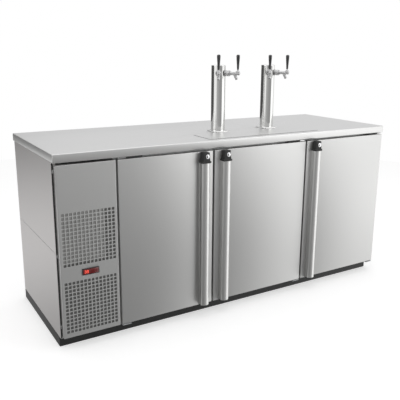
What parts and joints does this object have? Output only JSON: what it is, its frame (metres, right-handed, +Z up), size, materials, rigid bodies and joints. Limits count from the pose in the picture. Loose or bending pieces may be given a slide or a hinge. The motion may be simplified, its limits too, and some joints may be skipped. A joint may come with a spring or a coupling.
{
  "type": "draft beer cooler",
  "caption": "Low back-bar beer cooler with hinged doors, a side machine bay, and two tap towers over a recessed drip tray.",
  "frame": {"origin": "on the floor, under the middle of the worktop", "axes": "+Z up, the doors face -Y, +X runs along the worktop away from the machine bay"},
  "size_m": [2, 0.7393, 1.329],
  "materials": {
    "worktop_steel": "fine lengthwise brushing, satin",
    "front_steel": "fine lengthwise brushing, satin",
    "side_steel": "fine upright brushing, satin",
    "inner_steel": "plain stainless sheet",
    "galvanised_steel": "galvanised, dull grey",
    "black_base": "satin black paint",
    "handle_aluminium": "satin anodised",
    "black_plastic": "satin black moulding",
    "gasket_rubber": "soft black seal",
    "tower_steel": "polished",
    "tray_steel": "polished sheet",
    "lock_steel": "polished",
    "copper_and_fins": "aluminium fins on copper pipe",
    "white_liner": "white moulding"
  },
  "bodies": {
    "cabinet": {"base_plinth": "black_base", "cabinet_floor": "inner_steel", "keg_room_ceiling": "inner_steel", "rear_wall": "galvanised_steel", "right_wall": "side_steel", "partition_wall": "inner_steel", "door_post_1": "inner_steel", "door_post_2": "inner_steel", "side_panel_upper": "side_steel", "side_panel_lower": "side_steel", "machine_bay_rear_panel": "galvanised_steel", "worktop": "worktop_steel", "front_grille_panel": "front_steel", "temperature_controller": "black_plastic", "drip_tray": "tray_steel", "tower_column_1": "tower_steel", "tower_column_2": "tower_steel", "tower_cap_1": "tower_steel", "tower_cap_2": "tower_steel", "faucet_shank_1": "tower_steel", "faucet_shank_2": "tower_steel", "faucet_shank_3": "tower_steel", "faucet_shank_4": "tower_steel", "faucet_body_1": "tower_steel", "faucet_body_2": "tower_steel", "faucet_body_3": "tower_steel", "faucet_body_4": "tower_steel", "compressor": "black_base", "condenser_coil": "copper_and_fins", "condenser_fan_frame": "galvanised_steel", "evaporator_housing": "white_liner", "hinge_top_1": "galvanised_steel", "hinge_top_2": "galvanised_steel", "hinge_top_3": "galvanised_steel", "hinge_bottom_1": "galvanised_steel", "hinge_bottom_2": "galvanised_steel", "hinge_bottom_3": "galvanised_steel"},
    "door_1": {"door_panel_1": "front_steel", "door_gasket_1": "gasket_rubber", "door_handle_1": "handle_aluminium", "lock_housing_1": "black_plastic"},
    "lock_1": {"lock_cylinder_1": "lock_steel"},
    "door_2": {"door_panel_2": "front_steel", "door_gasket_2": "gasket_rubber", "door_handle_2": "handle_aluminium", "lock_housing_2": "black_plastic"},
    "lock_2": {"lock_cylinder_2": "lock_steel"},
    "door_3": {"door_panel_3": "front_steel", "door_gasket_3": "gasket_rubber", "door_handle_3": "handle_aluminium", "lock_housing_3": "black_plastic"},
    "lock_3": {"lock_cylinder_3": "lock_steel"},
    "tap_1": {"tap_handle_1": "black_plastic"},
    "tap_2": {"tap_handle_2": "black_plastic"},
    "tap_3": {"tap_handle_3": "black_plastic"},
    "tap_4": {"tap_handle_4": "black_plastic"},
    "drip_grate": {"drip_grate": "tray_steel"},
    "condenser_fan": {"condenser_fan": "black_plastic"},
    "evaporator_fan": {"evaporator_fan": "black_plastic"}
  },
  "joints": [
    {"name": "door_1_hinge", "type": "hinge", "parent": "cabinet", "child": "door_1", "pos_m": [-0.6935, -0.3345, 0.4674], "axis": [0, 0, -1], "range_deg": [0, 110]},
    {"name": "lock_1_turn", "type": "hinge", "parent": "door_1", "child": "lock_1", "pos_m": [-0.2535, -0.3738, 0.85], "axis": [0, -1, 0], "range_deg": [0, 90]},
    {"name": "door_2_hinge", "type": "hinge", "parent": "cabinet", "child": "door_2", "pos_m": [0.3855, -0.3345, 0.4674], "axis": [0, 0, 1], "range_deg": [0, 90]},
    {"name": "lock_2_turn", "type": "hinge", "parent": "door_2", "child": "lock_2", "pos_m": [-0.1315, -0.3738, 0.85], "axis": [0, -1, 0], "range_deg": [0, 90]},
    {"name": "door_3_hinge", "type": "hinge", "parent": "cabinet", "child": "door_3", "pos_m": [0.9845, -0.3345, 0.4674], "axis": [0, 0, 1], "range_deg": [0, 110]},
    {"name": "lock_3_turn", "type": "hinge", "parent": "door_3", "child": "lock_3", "pos_m": [0.4675, -0.3738, 0.85], "axis": [0, -1, 0], "range_deg": [0, 90]},
    {"name": "tap_1_pull", "type": "hinge", "parent": "cabinet", "child": "tap_1", "pos_m": [-0.06818, -0.17996, 1.243], "axis": [0.8434, -0.5373, 0], "range_deg": [0, 45]},
    {"name": "tap_2_pull", "type": "hinge", "parent": "cabinet", "child": "tap_2", "pos_m": [0.05218, -0.17996, 1.243], "axis": [0.8434, 0.5373, 0], "range_deg": [0, 45]},
    {"name": "tap_3_pull", "type": "hinge", "parent": "cabinet", "child": "tap_3", "pos_m": [0.26282, -0.17996, 1.243], "axis": [0.8434, -0.5373, 0], "range_deg": [0, 45]},
    {"name": "tap_4_pull", "type": "hinge", "parent": "cabinet", "child": "tap_4", "pos_m": [0.38318, -0.17996, 1.243], "axis": [0.8434, 0.5373, 0], "range_deg": [0, 45]},
    {"name": "drip_grate_lift", "type": "slide", "parent": "cabinet", "child": "drip_grate", "axis": [0, 0, 1], "range_m": [0, 0.15]},
    {"name": "condenser_fan_spin", "type": "hinge", "parent": "cabinet", "child": "condenser_fan", "pos_m": [-0.85525, -0.2345, 0.2223], "axis": [0, -1, 0], "continuous": true},
    {"name": "evaporator_fan_spin", "type": "hinge", "parent": "cabinet", "child": "evaporator_fan", "pos_m": [-0.5804, -0.0125, 0.7047], "axis": [1, 0, 0], "continuous": true}
  ]
}
